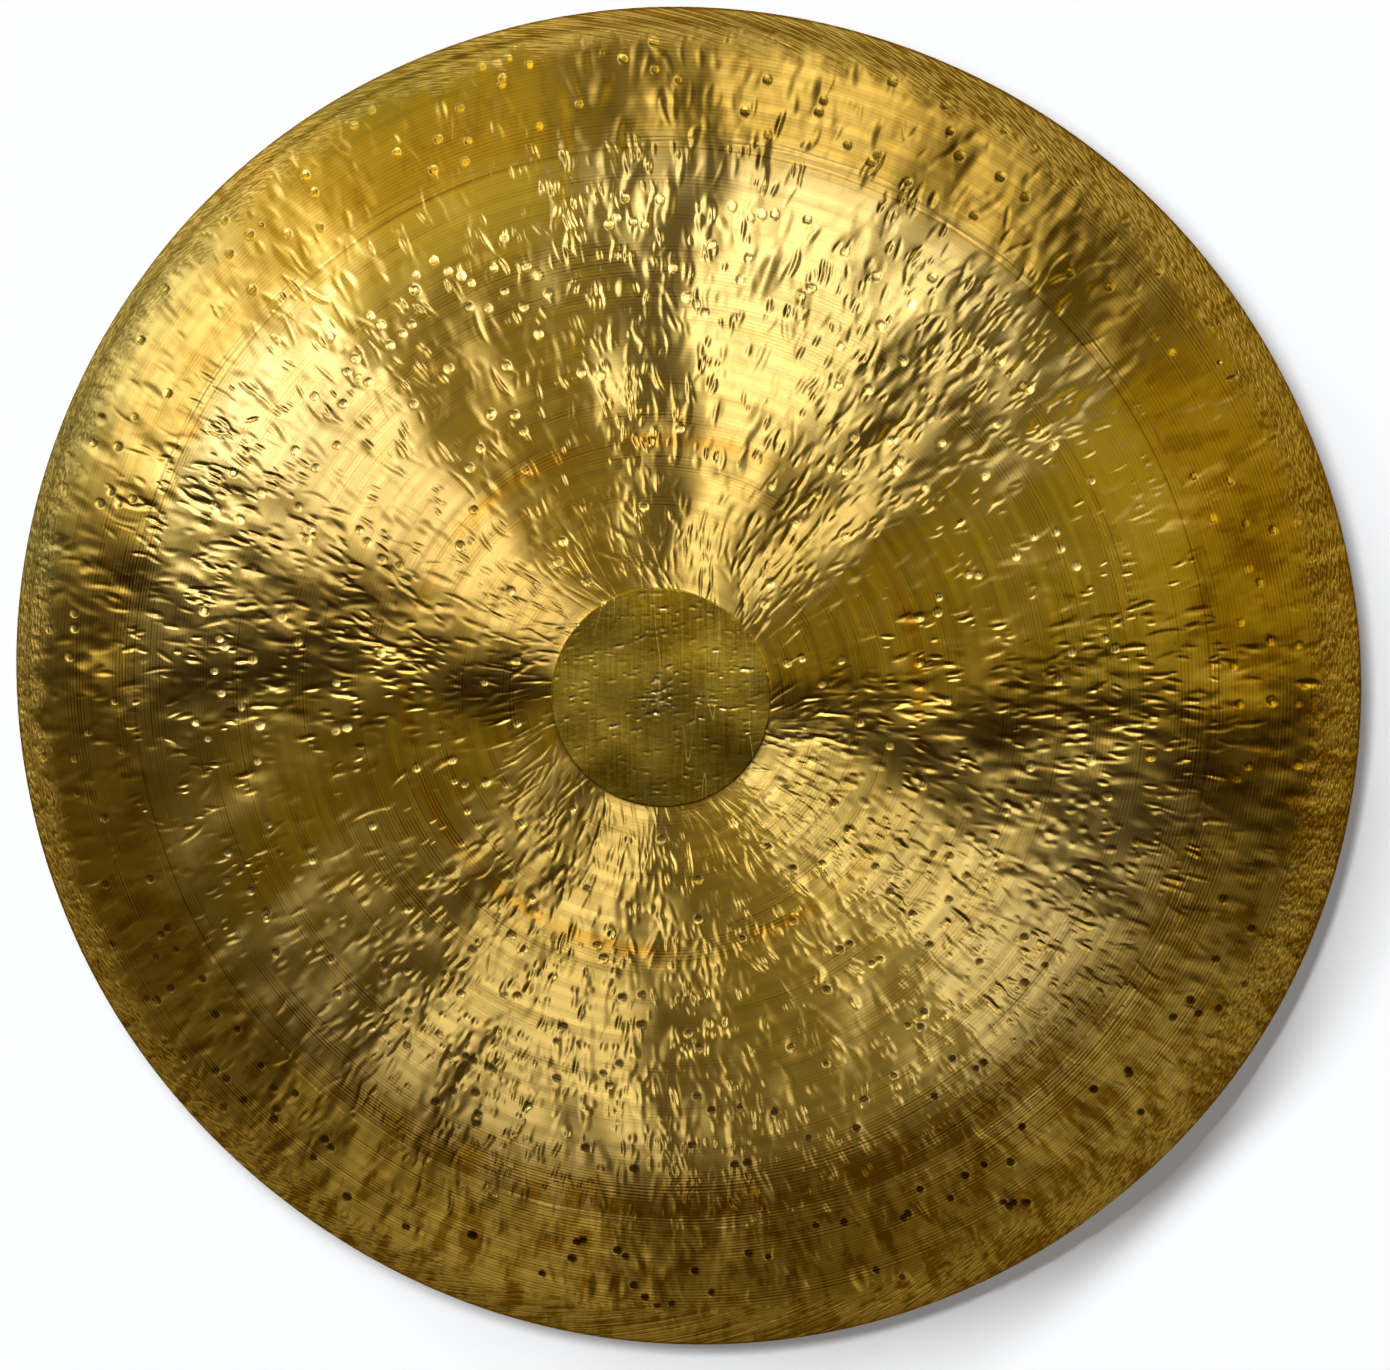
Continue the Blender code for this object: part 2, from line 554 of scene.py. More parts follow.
    def work(self) -> None:
        """Do every stage of the hammering in the smith's order."""
        out = self.form.radius
        for stage in (
            # Broad, soft blows that stretch the sheet and leave long, low waves
            Stage(2600, (0.064, out), (0.0040, 0.0090), (0.007, 0.019), 0.000080, 0.4,
                  slant=0.22, bend=6.0, skew=0.6, eagerness=0.5, middle_size=0.5, grows=(0.07, 0.2)),
            # Narrow blows that draw it out, whose marks meander away from the middle
            Stage(1500, (0.085, 0.345), (0.0017, 0.0030), (0.005, 0.013), 0.000080, 0.4,
                  slant=0.20, bend=14.0, skew=0.8, crisp=1.7, eagerness=1.0),
            # Small, shallow planishing marks
            Stage(4200, (0.062, out + 0.004), (0.0016, 0.0050), (0.003, 0.013), 0.000035, 0.6,
                  slant=0.25, bend=12.0, skew=0.9, middle_size=0.6, grows=(0.075, 0.15)),
        ):
            self.go_over(stage)
        self.peen()
        self.dapple()
        # Long, narrow grooves that run out from the centre disc
        self.go_over(Stage(420, (0.064, 0.112), (0.0009, 0.0016), (0.005, 0.018), 0.000060, 0.4,
                           slant=0.12, bend=5.0, slant_shift=0.02))
        self.row_of_blows()
        # Small marks of a cross-peen hammer that crowd the unturned rim
        rim = (self.form.turned_radius - 0.006, out + 0.004)
        self.go_over(Stage(12000, rim, (0.0012, 0.0040), (0.0010, 0.0018), 0.000036, 0.4,
                           slant=0.35, bend=30.0, skew=0.9, turns_in=False))
        self.clear_middle()
        self.tap_middle()
        self.drag()
        self.punch()
        self.pit()


@dataclass
class Ring:
    """One ring of points of the plate's skin."""

    radius: float
    height: float
    face: Face
    count: int
    first: int = 0
    front_reach: float = 0.0
    back_reach: float = 0.0


@dataclass
class GongPlate:
    """The whole plate as one closed skin, with its hammer work as real relief."""

    form: PlateForm
    name: str = "hammered_gong_plate"
    front_cell: float = 0.0009
    disc_cell: float = 0.0008
    front_arc: float = 0.0009
    back_cell: float = 0.0030
    back_arc: float = 0.0042
    fine_cell: float = 0.0003
    least_sides: int = 28
    edge_steps: int = 4
    swell_waves: int = 48
    swell_slope: float = 0.016
    swell_drop: float = 0.0006
    front_disc: float = 0.40
    back_disc: float = 0.18
    disc_gap: float = 0.005
    back_calm: float = 0.02
    edge_calm: float = 2.2
    seed: int = 7
    rings: list[Ring] = field(default_factory=list)

    def sides(self, radius: float, arc: float) -> int:
        """Give how many points a ring needs, always the least count doubled a few times.

        Args:
            radius: The ring's radius.
            arc: The most that may lie between two points.

        Returns:
            The count.
        """
        count = self.least_sides
        while 2 * pi * radius / count > arc:
            count *= 2
        return count

    def face_radii(self, cell: float) -> list[float]:
        """Give the radii of one face's rings, closer together where the lathe left an edge.

        Args:
            cell: The usual distance of two rings.

        Returns:
            The radii, from the middle out.
        """
        form = self.form
        groove = form.crease_width / 2
        radii: list[float] = []
        start = 0.0
        for end, pitch in (
            (form.disc_radius - 2 * self.fine_cell, min(cell, self.disc_cell)),
            (form.disc_radius + form.turned_edge, self.fine_cell),
            (form.crease_radius - groove, cell),
            (form.crease_radius + groove, cell / 3),
            (form.turned_radius - form.turned_edge, cell),
            (form.turned_radius, cell / 3),
            (form.rest_radius, cell),
            (form.radius - form.edge_round, cell),
        ):
            steps = max(round((end - start) / pitch), 1)
            radii += [start + (end - start) * step / steps for step in range(1, steps + 1)]
            start = end
        return radii

    def lay_rings(self) -> None:
        """Lay the rings in order: out over the front, round the edge and in over the back."""
        form = self.form
        radii = np.array(self.face_radii(self.front_cell))
        heights = form.sheet(radii) + form.wall(radii) - form.cut(radii)
        for radius, height in zip(radii, heights):
            self.rings.append(Ring(radius, height, Face.FRONT, self.sides(radius, self.front_arc)))
        count = self.rings[-1].count
        bend, steps = form.edge_round, self.edge_steps
        for step in range(1, steps + 1):
            turn = pi / 2 * step / steps
            self.rings.append(Ring(
                form.radius - bend + bend * sin(turn), heights[-1] - bend + bend * cos(turn),
                Face.FRONT, count,
            ))
        for step in range(steps):
            turn = pi / 2 * step / steps
            self.rings.append(Ring(
                form.radius - bend + bend * cos(turn), bend - bend * sin(turn),
                Face.BACK, max(count // 2 ** (step // 2), self.sides(form.radius, self.back_arc)),
            ))
        radii = np.array(self.face_radii(self.back_cell))[::-1]
        heights = np.maximum(form.sheet(radii), 0.0) + form.cut(radii)
        for radius, height in zip(radii, heights):
            self.rings.append(Ring(radius, height, Face.BACK, self.sides(radius, self.back_arc)))

    def measure_rings(self) -> None:
        """Number each ring's first point, and measure its reach along the skin from both ends."""
        first, reach = 1, 0.0
        last = (0.0, self.rings[0].height)
        for ring in self.rings:
            ring.first = first
            first += ring.count
            reach += hypot(ring.radius - last[0], ring.height - last[1])
            ring.front_reach = reach
            last = (ring.radius, ring.height)
        whole = reach + last[0]
        for ring in self.rings:
            ring.back_reach = whole - ring.front_reach

    def swell(self, x: np.ndarray, y: np.ndarray) -> np.ndarray:
        """Give the uneven swell that many blows leave in the sheet, all below the plain form.

        Args:
            x: The points' places along X.
            y: Their places along Y.

        Returns:
            The height to add, in metres.
        """
        draw = np.random.default_rng(self.seed)
        total = np.zeros_like(x)
        for _ in range(self.swell_waves):
            length = draw.uniform(0.028, 0.085)
            heading, phase = draw.uniform(0, 2 * pi), draw.uniform(0, 2 * pi)
            height = self.swell_slope * length / (2 * pi) * (2 / self.swell_waves) ** 0.5
            total += height * np.sin(2 * pi / length * (x * cos(heading) + y * sin(heading)) + phase)
        return total - self.swell_drop

    def points(self, front: HammerWork, back: HammerWork) -> tuple[np.ndarray, ...]:
        """Place every point of the skin.

        Args:
            front: The hammer marks of the front face.
            back: Those of the back face.

        Returns:
            The points' places, the depth of the marks there, and how flat the lines are pressed.
        """
        form = self.form
        middles = {
            Face.FRONT: form.sheet(0.0) + form.centre_thickness,
            Face.BACK: form.sheet(0.0),
        }
        places, depths, flats = [], [], []
        front_middle, back_middle = (Ring(0.0, middles[face], face, 1) for face in Face)
        for ring in (front_middle, *self.rings, back_middle):
            angle = 2 * pi * np.arange(ring.count) / ring.count
            radius = np.full(ring.count, ring.radius)
            x, y = form.shifted(radius, angle)
            out = np.hypot(x, y)
            calm = 1 - ease(out, form.crease_radius, form.rest_radius)
            from_axis = np.hypot(x - form.lathe_x, y - form.lathe_y)
            heading = np.arctan2(y - form.lathe_y, x - form.lathe_x)
            work = front if ring.face is Face.FRONT else back
            marks = work.read(work.depth, from_axis, heading)
            depths.append(marks)
            flats.append(work.read(work.flat, from_axis, heading))
            marks = marks - form.crease_lines(from_axis, heading)
            if ring.face is Face.BACK:
                marks = marks * (1 - ease(out, form.rest_radius - self.back_calm, form.rest_radius))
            calm_from = form.radius - self.edge_calm * form.edge_round
            marks = marks * (1 - ease(radius, calm_from, form.radius))
            z = ring.height + form.beaten(x, y) + self.swell(x, y) * calm - ring.face.value * marks
            places.append(np.stack([x, y, z], 1))
        return np.concatenate(places), np.concatenate(depths), np.concatenate(flats)

    def corners(self) -> tuple[np.ndarray, np.ndarray]:
        """Join the rings with faces.

        Returns:
            The corners of every face, with -1 for no fourth one, and whether it is a back face.
        """
        found, back = [], []

        def add(columns: list[np.ndarray], behind: bool) -> None:
            """Keep a block of faces.

            Args:
                columns: The faces' first corners, then their second, and so on.
                behind: Whether they are on the back.
            """
            block = np.stack(columns + [np.full(len(columns[0]), -1)] * (4 - len(columns)), 1)
            found.append(block)
            back.append(np.full(len(block), behind))

        first, last = self.rings[0], self.rings[-1]
        turn = np.arange(first.count)
        add([np.zeros_like(turn), first.first + turn, first.first + (turn + 1) % first.count], False)
        for near, far in zip(self.rings, self.rings[1:]):
            behind = far.face is Face.BACK and near.face is Face.BACK
            turn = np.arange(min(near.count, far.count))
            after = (turn + 1) % len(turn)
            if near.count == far.count:
                outer = [far.first + turn, far.first + after]
                add([near.first + turn, *outer, near.first + after], behind)
            elif far.count == 2 * near.count:
                mid = far.first + 2 * turn + 1
                add([near.first + turn, far.first + 2 * turn, mid], behind)
                add([near.first + turn, mid, near.first + after], behind)
                add([mid, far.first + 2 * after, near.first + after], behind)
            else:
                mid = near.first + 2 * turn + 1
                add([near.first + 2 * turn, far.first + turn, mid], behind)
                add([mid, far.first + turn, far.first + after], behind)
                add([mid, far.first + after, near.first + 2 * after], behind)
        turn = np.arange(last.count)
        middle = np.full_like(turn, last.first + last.count)
        add([last.first + turn, middle, last.first + (turn + 1) % last.count], True)
        return np.concatenate(found), np.concatenate(back)

    def skin_map(self) -> tuple[np.ndarray, np.ndarray]:
        """Lay both faces flat as two discs in one square.

        Returns:
            Each point's place in the front's disc and in the back's.
        """
        middle = np.zeros((1, 2))
        fronts, backs = [middle], [middle]
        for ring in self.rings:
            angle = 2 * pi * np.arange(ring.count) / ring.count
            way = np.stack([np.cos(angle), np.sin(angle)], 1)
            fronts.append(way * ring.front_reach)
            backs.append(way * ring.back_reach)
        span = self.form.radius + self.form.rim_thickness
        front = np.concatenate([*fronts, middle]) / span * self.front_disc
        back = np.concatenate([*backs, middle]) / span * self.back_disc
        return front + (self.front_disc + self.disc_gap), back + (1 - self.back_disc - self.disc_gap)

    def build(self) -> bpy.types.Object:
        """Make the plate's mesh.

        Returns:
            The plate as an object, not dressed yet.
        """
        front = HammerWork(self.form, self.seed)
        front.work()
        back = HammerWork(self.form, self.seed + 1)
        back.work()
        self.lay_rings()
        self.measure_rings()
        places, depths, flats = self.points(front, back)
        corners, behind = self.corners()
        mesh = bpy.data.meshes.new(self.name)
        mesh.vertices.add(len(places))
        mesh.vertices.foreach_set("co", places.astype(np.float32).ravel())
        sizes = np.where(corners[:, 3] < 0, 3, 4)
        starts = np.concatenate([[0], np.cumsum(sizes)[:-1]])
        flat = corners.ravel()[corners.ravel() >= 0]
        mesh.loops.add(len(flat))
        mesh.loops.foreach_set("vertex_index", flat.astype(np.int32))
        mesh.polygons.add(len(corners))
        mesh.polygons.foreach_set("loop_start", starts.astype(np.int32))
        mesh.polygons.foreach_set("loop_total", sizes.astype(np.int32))
        mesh.update(calc_edges=True)
        mesh.validate()
        maps = self.skin_map()
        side = np.repeat(behind, sizes)
        uv = np.where(side[:, None], maps[1][flat], maps[0][flat])
        mesh.uv_layers.new(name="OFBake").uv.foreach_set("vector", uv.astype(np.float32).ravel())
        for name, values in (("mark_depth", depths), ("pressed_flat", flats)):
            attribute = mesh.attributes.new(name, "FLOAT", "POINT")
            attribute.data.foreach_set("value", values.astype(np.float32))
        middle = places[corners[:, :3]].mean(1)
        form = self.form
        turned = np.hypot(middle[:, 0] - form.lathe_x, middle[:, 1] - form.lathe_y)
        zone = np.full(len(turned), Zone.TURNED.value)
        zone[turned < form.disc_radius + form.turned_edge / 2] = Zone.FORGED.value
        mesh.polygons.foreach_set("material_index", zone.astype(np.int32))
        mesh.shade_smooth()
        return link(self.name, mesh)


class Graph:
    """The shader graph of one material or world."""

    def __init__(self, tree: bpy.types.NodeTree) -> None:
        """Start with an empty tree."""
        self.tree = tree
        tree.nodes.clear()

    def node(
        self, kind: str, settings: dict[str, object] | None = None,
        feeds: dict[str | int, Feed] | None = None, output: str | int = 0,
    ) -> "Shade":
        """Add any node.

        Args:
            kind: The node's type.
            settings: What is set on it first, such as its operation, or a ramp's stops.
            feeds: Values or links of its sockets, by name or number.
            output: The output that is wanted.

        Returns:
            That output.
        """
        made = self.tree.nodes.new(kind)
        for key, value in (settings or {}).items():
            if key == "stops":
                ramp = made.color_ramp
                while len(ramp.elements) < len(value):
                    ramp.elements.new(0.5)
                for element, (place, colour) in zip(ramp.elements, value):
                    element.position = place
                    element.color = (*colour, 1.0)
            else:
                setattr(made, key, value)
        for key, value in (feeds or {}).items():
            socket = made.inputs[key]
            if isinstance(value, Shade):
                self.tree.links.new(value.socket, socket)
            elif isinstance(value, tuple) and len(value) == 3 and socket.type == "RGBA":
                socket.default_value = (*value, 1.0)
            else:
                socket.default_value = value
        return Shade(self, made.outputs[output] if made.outputs else None)

    def number(self, operation: str, *values: Feed) -> "Shade":
        """Add a Math node for an operation on numbers."""
        return self.node("ShaderNodeMath", {"operation": operation}, dict(enumerate(values)))

    def vector(self, operation: str, *values: Feed, output: str = "Vector") -> "Shade":
        """Add a Vector Math node."""
        feeds: dict[str | int, Feed] = dict(enumerate(values))
        return self.node("ShaderNodeVectorMath", {"operation": operation}, feeds, output)

    def mix(self, factor: Feed, first: Feed, second: Feed) -> "Shade":
        """Blend two colours.

        Args:
            factor: From 0 for the first to 1 for the second.
            first: A colour.
            second: Another colour.

        Returns:
            The blended colour.
        """
        settings = {"data_type": "RGBA", "clamp_factor": True}
        return self.node("ShaderNodeMix", settings, {0: factor, 6: first, 7: second}, 2)

    def noise(self, place: Feed, scale: float, detail: float, roughness: float) -> "Shade":
        """Add a noise of about 0 to 1 at a place."""
        feeds = {"Vector": place, "Scale": scale, "Detail": detail, "Roughness": roughness}
        return self.node("ShaderNodeTexNoise", {"noise_dimensions": "3D"}, feeds, "Fac")


def arithmetic(operation: str, reflected: bool = False) -> Callable[["Shade", Feed], "Shade"]:
    """Make an operator of Shade.

    Args:
        operation: What it does, by Math on numbers and by Vector Math on vectors.
        reflected: Whether the other value comes first.

    Returns:
        The operator's method.
    """

    def apply(self: "Shade", other: Feed) -> "Shade":
        """Add the node."""
        add = self.graph.number if self.socket.type == "VALUE" else self.graph.vector
        return add(operation, other, self) if reflected else add(operation, self, other)

    return apply


class Shade:
    """One output in a shader graph, on which arithmetic adds nodes."""

    def __init__(self, graph: Graph, socket: bpy.types.NodeSocket | None) -> None:
        """Keep the graph and the socket."""
        self.graph = graph
        self.socket = socket

    __add__ = __radd__ = arithmetic("ADD")
    __sub__ = arithmetic("SUBTRACT")
    __rsub__ = arithmetic("SUBTRACT", reflected=True)
    __mul__ = __rmul__ = arithmetic("MULTIPLY")
    __truediv__ = arithmetic("DIVIDE")

    def above(self, start: float, end: float) -> "Shade":
        """Go from 0 at start to 1 at end, smoothly."""
        feeds = {"Value": self, "From Min": start, "From Max": end}
        return self.graph.node("ShaderNodeMapRange", {"interpolation_type": "SMOOTHSTEP"}, feeds)

    def within(self, middle: float, half_width: float, soft: float) -> "Shade":
        """Give 1 within a band and 0 outside it."""
        off = self.graph.number("ABSOLUTE", self - middle)
        return 1 - off.above(half_width, half_width + soft)


@dataclass
class PlatePlaces:
    """The places on the plate that its finishes are drawn from."""

    graph: Graph
    form: PlateForm

    def __post_init__(self) -> None:
        """Measure from the lathe's axis."""
        graph, form = self.graph, self.form
        self.point = graph.node("ShaderNodeTexCoord", output="Object")
        self.level = self.point * (1.0, 1.0, 0.0)
        self.from_axis = self.level - (form.lathe_x, form.lathe_y, 0.0)
        self.radius = graph.vector("LENGTH", self.from_axis, output="Value")
        self.heading = graph.vector("NORMALIZE", self.from_axis)
        self.out = graph.vector("LENGTH", self.level, output="Value")
        self.mark = self.stored("mark_depth")
        self.pressed = self.stored("pressed_flat")

    def stored(self, name: str) -> "Shade":
        """Read a value that the mesh keeps at each point."""
        return self.graph.node("ShaderNodeAttribute", {"attribute_name": name}, output="Fac")

    def towards(self, direction: Span) -> "Shade":
        """Give 1 along a direction from the lathe's axis, less beside it and -1 opposite."""
        return self.graph.vector("DOT_PRODUCT", self.heading, (*direction, 0.0), output="Value")

    def along_rings(self, pitch: float, arcs: float, detail: float) -> "Shade":
        """Give a noise that runs in rings round the lathe's axis.

        Args:
            pitch: The rings' distance, in metres.
            arcs: How quickly a ring changes along its length.
            detail: Octaves of finer rings.

        Returns:
            The noise, about 0 to 1.
        """
        across = self.graph.node("ShaderNodeCombineXYZ", {}, {"X": self.radius / pitch})
        turned = self.heading * (arcs, arcs, arcs) + (0.0, 7.3, 2.1)
        return self.graph.noise(across + turned, 1.0, detail, 0.55)

    def along_rays(self, width: float, length: float, detail: float) -> "Shade":
        """Give a noise of marks that point away from the lathe's axis.

        Args:
            width: The marks' width at three quarters of the plate's radius, in metres.
            length: Their length, in metres.
            detail: Octaves of finer marks.

        Returns:
            The noise, about 0 to 1.
        """
        turns = 0.75 * self.form.radius / width
        turned = self.heading * (turns, turns, 0.0)
        lift = self.graph.node("ShaderNodeCombineXYZ", {}, {"Z": self.radius / length})
        return self.graph.noise(turned + lift, 1.0, detail, 0.6)


@dataclass
class Surface:
    """What a finish draws: its colour, roughness, height, and how far it has lost its grain."""

    colour: Shade
    roughness: Shade
    height: Shade
    smooth: Shade | float


@dataclass(frozen=True)
class BronzeFinish:
    """Golden bronze as the lathe or the hammer leaves it."""

    name: str
    zone: Zone
    pale: Colour = (0.95, 0.66, 0.105)
    deep: Colour = (0.82, 0.52, 0.045)
    # Dark colour of oxide, lathe lines and patches, also used for painted shade
    oxide_and_shade: Colour = (0.37, 0.18, 0.004)
    ring_stain: Colour = (0.86, 0.45, 0.03)
    # Pale colour of burnished dents on the disc, also used for a painted highlight on the turned face
    wear_and_highlight: Colour = (0.96, 0.74, 0.17)
    tarnished: Colour = (0.42, 0.36, 0.055)
    hairline: Colour = (0.95, 0.70, 0.13)
    roughness: float = 0.315
    smooth_roughness: float = 0.26
    anisotropic: float = 1.0
    anisotropic_turn: float = 0.25
    feed: float = 0.0020
    feed_height: float = 0.000006
    fine_pitch: float = 0.0012
    fine_height: float = 0.00002
    broad_pitch: float = 0.0045
    broad_height: float = 0.00014
    slow_pitch: float = 0.016
    ripple_pitch: float = 0.0011
    ripple_height: float = 0.00012
    patch_width: float = 0.010
    patch_length: float = 0.026
    thread_pitch: float = 0.0021
    stain_radius: float = 0.1515
    smudge_place: Span = (-0.2854, 0.1558)
    upper_left: Span = (-0.79, 0.61)
    upper_right: Span = (0.60, 0.80)
    lower_right: Span = (0.75, -0.66)
    bottom: Span = (0.09, -1.0)
    low_side: Span = (0.35, -0.94)

    def turned(self, places: PlatePlaces) -> Surface:
        """Draw the lathe's lines, the stained ring, the patched band and rippled rim outside, and
        painted shade and highlight.

        Args:
            places: The places on the plate.

        Returns:
            The drawn surface.
        """
        graph, form = places.graph, places.form
        radius, pressed, crease = places.radius, places.pressed, form.crease_radius

        # What the lathe and the hammer left
        cloud = graph.noise(places.point, 9.0, 4.0, 0.6)
        rings = places.along_rings(self.fine_pitch, 1.2, 1.0) - 0.5
        broad = places.along_rings(self.broad_pitch, 0.8, 2.0) - 0.5
        slow = places.along_rings(self.slow_pitch, 1.5, 2.0)
        strong = slow.above(0.42, 0.62) * 0.8 + 0.4
        feed = graph.number("SINE", (radius / self.feed + slow * 1.5) * (2 * pi))
        patches = places.along_rays(self.patch_width, self.patch_length, 3.0)
        ripples = places.along_rings(self.ripple_pitch, 85.0, 1.0).above(0.36, 0.64) - 0.5

        # Rings of the plate
        outer = radius.above(crease - 0.020, crease + 0.010)
        inside = radius.above(crease - 0.050, crease - 0.012)
        ragged = radius + (patches - 0.5) * 0.040
        rim = ragged.above(form.turned_radius - 0.014, form.turned_radius + 0.003)
        crease_ring = radius.within(crease, 0.0032, 0.0014)
        # Painted shade: a thin dark line just inside the crease
        inner_line = radius.within(crease - 0.0052, 0.0005, 0.0008)
        edge = places.out.above(form.radius - 0.0020, form.radius - 0.0008)
        wobble = places.along_rings(0.030, 9.0, 1.0) * 2.0
        thread = graph.number("SINE", (radius / self.thread_pitch + wobble) * (2 * pi))
        threads = thread.above(0.35, 0.95) * crease_ring
        lines = (rings * 0.60 + feed * 0.26) * strong * (1 - rim)

        # Sides of the plate: where the painted shade and highlight fall, and where the grey tarnish
        # lies
        left = places.towards(self.upper_left).above(0.70, 0.93)
        right = places.towards(self.upper_right).above(0.60, 0.95)
        kept = places.towards(self.lower_right).above(0.30, 0.90)
        bottom = places.towards(self.bottom).above(0.50, 0.95)
        side = graph.vector("DOT_PRODUCT", places.level, (*self.low_side, 0.0), output="Value")
        low = side.above(-0.25, 0.30)
        # Painted shade: the lower side inside the crease, broken into patches
        painted_low_shade = inside * low * patches.above(0.30, 0.60)
        # Painted shade: a dark crescent inside the crease at the bottom
        painted_bottom_shade = inside * bottom * (1 - radius.above(crease - 0.008, crease - 0.003))

        # Colour, from the clean metal to its stains, with painted shade and painted highlight laid
        # over it
        # The outer band is deeper in tone; painted shade deepens it more on the lower side and the
        # upper right, and deepens the whole lower side
        tone = outer * (low * 0.55 + right * 0.3 + 0.38) + (cloud - 0.5) * 0.8 + broad * 0.6
        tone = tone + lines * 2.0 + painted_low_shade * 0.8 + low * 0.35 - ripples * rim * 0.6 + 0.05
        colour = graph.mix(tone, self.pale, self.deep)
        # Painted highlight: paler metal over the middle radii, weaker on the lower side
        wear_and_highlight = radius.above(0.12, 0.27) * (1 - outer) * (1 - low * 0.6) * 0.5
        colour = graph.mix(wear_and_highlight, colour, self.wear_and_highlight)
        # Painted shade: the inner face towards the upper left darker, which dims its reflection
        colour = graph.mix(left * (1 - radius.above(0.23, 0.32)) * 0.42, colour, self.oxide_and_shade)
        broken = places.along_rings(0.080, 2.6, 1.0).above(0.36, 0.56)
        stain = radius.within(self.stain_radius, 0.0022, 0.0035) * broken
        smudge = graph.vector("DISTANCE", places.level, (*self.smudge_place, 0.0), output="Value")
        stain = stain * 0.75 + (1 - smudge.above(0.003, 0.013)) * cloud
        colour = graph.mix(stain, colour, self.ring_stain)
        # Painted shade: the band's dark patches grow on the lower side
        band = patches.above(0.46, 0.66) * (low * 0.45 + 0.25) + (cloud - 0.42) * 0.6
        # Painted shade: the band darker at its upper right and upper left, and the lower side inside
        # the crease darker
        shade = outer * (band + right * 0.2 + left * 0.18) + painted_low_shade * 0.35
        # Painted shade: the dark crescent at the bottom; the lathe lines and rim ripples are the
        # metal's own grain
        shade = shade + painted_bottom_shade * (patches + 0.1) - lines * 1.5 - ripples * rim * 0.95
        # Painted shade between the crease's threads on the lower right and along the crease's inner
        # line; the outer edge is darker too
        shade = shade + crease_ring * kept * 0.3 + edge * 0.9 + inner_line * 0.4
        # Painted shade: dents inside the crease darker on the lower side
        shade = shade + pressed * inside * low * 0.15
        colour = graph.mix(shade, colour, self.oxide_and_shade)
        dull = left * radius.above(crease + 0.020, form.turned_radius) * cloud.above(0.36, 0.60)
        colour = graph.mix(dull * 0.65, colour, self.tarnished)
        # Painted highlight: pale threads along the crease, strongest on the lower right, where its
        # ridges catch the light
        colour = graph.mix(threads * (kept * 0.75 + 0.1), colour, self.pale)

        # Gloss and relief
        roughness = self.roughness + lines * 0.12 + (cloud - 0.5) * 0.05 + rim * 0.16
        grooves = rings * self.fine_height + feed * self.feed_height
        height = grooves * strong * (1 - rim) + broad * self.broad_height
        height = height * (1 - pressed * 0.8) + ripples * rim * self.ripple_height
        smooth = graph.number("MAXIMUM", pressed, rim * 0.6)
        return Surface(colour, roughness, height, smooth)

    def forged(self, places: PlatePlaces) -> Surface:
        """Draw the skin of the casting that the lathe left in the middle, with its hairlines and a
        painted shadow line at its edge.

        Args:
            places: The places on the plate.

        Returns:
            The drawn surface.
        """
        graph, form = places.graph, places.form
        cloud = graph.noise(places.point, 26.0, 4.0, 0.65)
        level = graph.noise(places.point * (110.0, 300.0, 0.0), 1.0, 3.0, 0.6)
        brushed = graph.noise(places.point * (900.0, 30.0, 0.0), 1.0, 1.0, 0.5)
        drift = graph.noise(places.point * (42.0, 5.0, 0.0), 1.0, 2.0, 0.5)
        shown = graph.noise(places.point, 22.0, 1.0, 0.5).above(0.44, 0.52)
        hairline = drift.within(0.5, 0.0016, 0.0020) * shown
        burnished = places.mark.above(0.00004, 0.00012)
        # Painted shade: a dark line along the disc's raised edge
        edge = places.radius.above(form.disc_radius - 0.0010, form.disc_radius - 0.0002)
        dark = (cloud - 0.5) * 3.0 + (level - 0.5) * 0.8 + (brushed - 0.5) * 1.3 + 0.5 + edge * 0.6
        colour = graph.mix(dark, self.pale, self.oxide_and_shade)
        colour = graph.mix(burnished * 0.8, colour, self.wear_and_highlight)
        colour = graph.mix(hairline * 0.9, colour, self.hairline)
        height = level * 0.00005 + cloud * 0.00016
        roughness = self.roughness + (cloud - 0.5) * 0.1 - burnished * 0.06
        return Surface(colour, roughness, height, 1.0)

    def build(self, form: PlateForm) -> bpy.types.Material:
        """Make the material.

        Args:
            form: The plate's form, for its rings.

        Returns:
            The finished material.
        """
        material = bpy.data.materials.new(self.name)
        material.use_nodes = True
        graph = Graph(material.node_tree)
        draw = {Zone.TURNED: self.turned, Zone.FORGED: self.forged}[self.zone]
        surface = draw(PlatePlaces(graph, form))
        bump = graph.node("ShaderNodeBump", {}, {
            "Strength": 1.0, "Distance": 1.0, "Height": surface.height,
        })
        feeds = {"Base Color": surface.colour, "Metallic": 1.0, "Normal": bump}
        grained = graph.node("ShaderNodeBsdfPrincipled", {}, {
            **feeds, "Roughness": surface.roughness,
            "Anisotropic": self.anisotropic, "Anisotropic Rotation": self.anisotropic_turn,
        })
        smoothed = graph.node("ShaderNodeBsdfPrincipled", {}, {
            **feeds, "Roughness": surface.roughness + (self.smooth_roughness - self.roughness),
        })
        mixed = graph.node("ShaderNodeMixShader", {}, {0: surface.smooth, 1: grained, 2: smoothed})
        graph.node("ShaderNodeOutputMaterial", {}, {"Surface": mixed})
        return material


